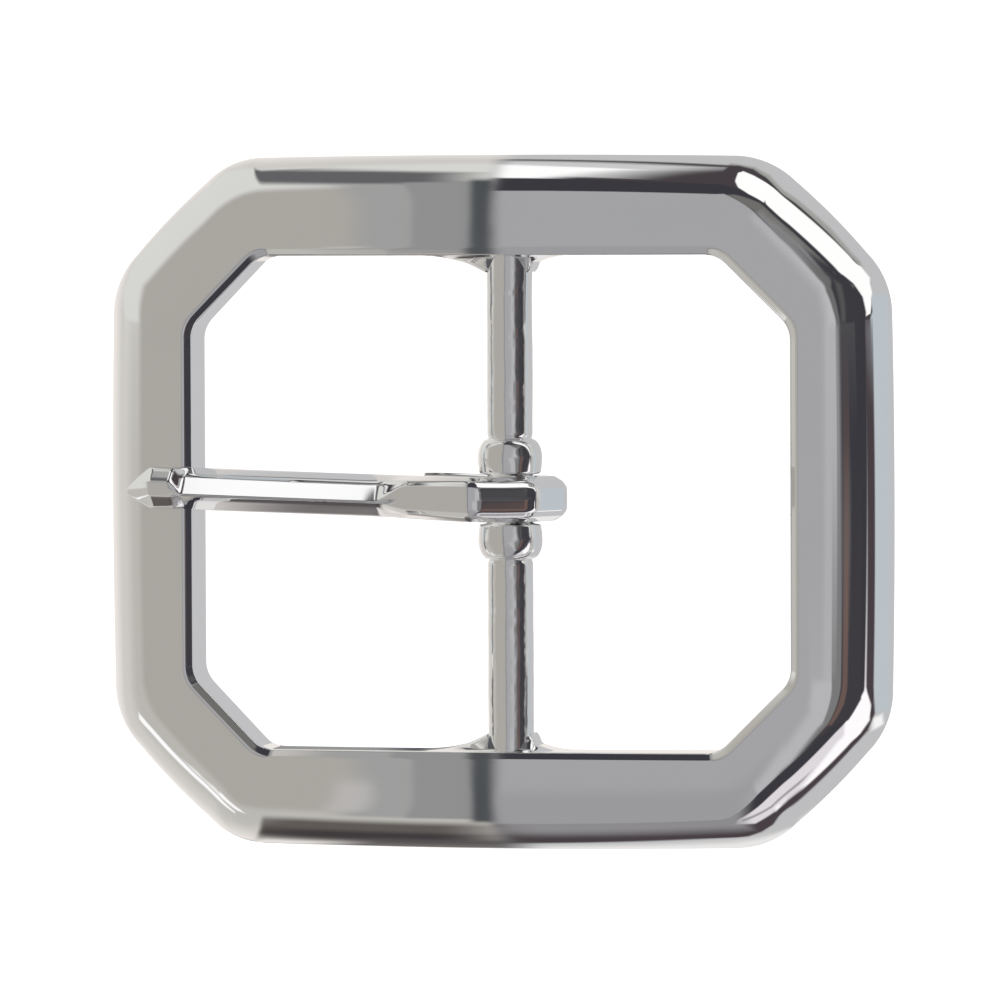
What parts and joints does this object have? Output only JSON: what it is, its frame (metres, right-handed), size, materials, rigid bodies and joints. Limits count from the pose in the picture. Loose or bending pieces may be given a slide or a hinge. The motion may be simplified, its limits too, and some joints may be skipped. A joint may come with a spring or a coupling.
{
  "type": "centre-bar belt buckle",
  "caption": "Belt buckle with a clipped-corner cast frame, a centre bar with collars, and a tongue that swings on the bar.",
  "frame": {"origin": "bottom centre of the buckle's box, on the plane that the back rests on", "axes": "+X along the belt away from the tongue's point, +Y along the bar, +Z out of the buckle's front"},
  "size_m": [0.0654, 0.0568, 0.0089],
  "materials": {
    "frame_plate": "polished bright plating over a casting",
    "bar_plate": "bright plating over an unpolished cast skin",
    "tongue_plate": "polished bright plating"
  },
  "bodies": {
    "buckle_frame": {"frame": "frame_plate", "centre_bar": "bar_plate"},
    "buckle_tongue": {"tongue": "tongue_plate"}
  },
  "joints": [
    {"name": "tongue_swing", "type": "hinge", "parent": "buckle_frame", "child": "buckle_tongue", "pos_m": [0.0016, 0.0004, 0.004], "axis": [0, 1, 0], "range_deg": [0, 165]}
  ]
}
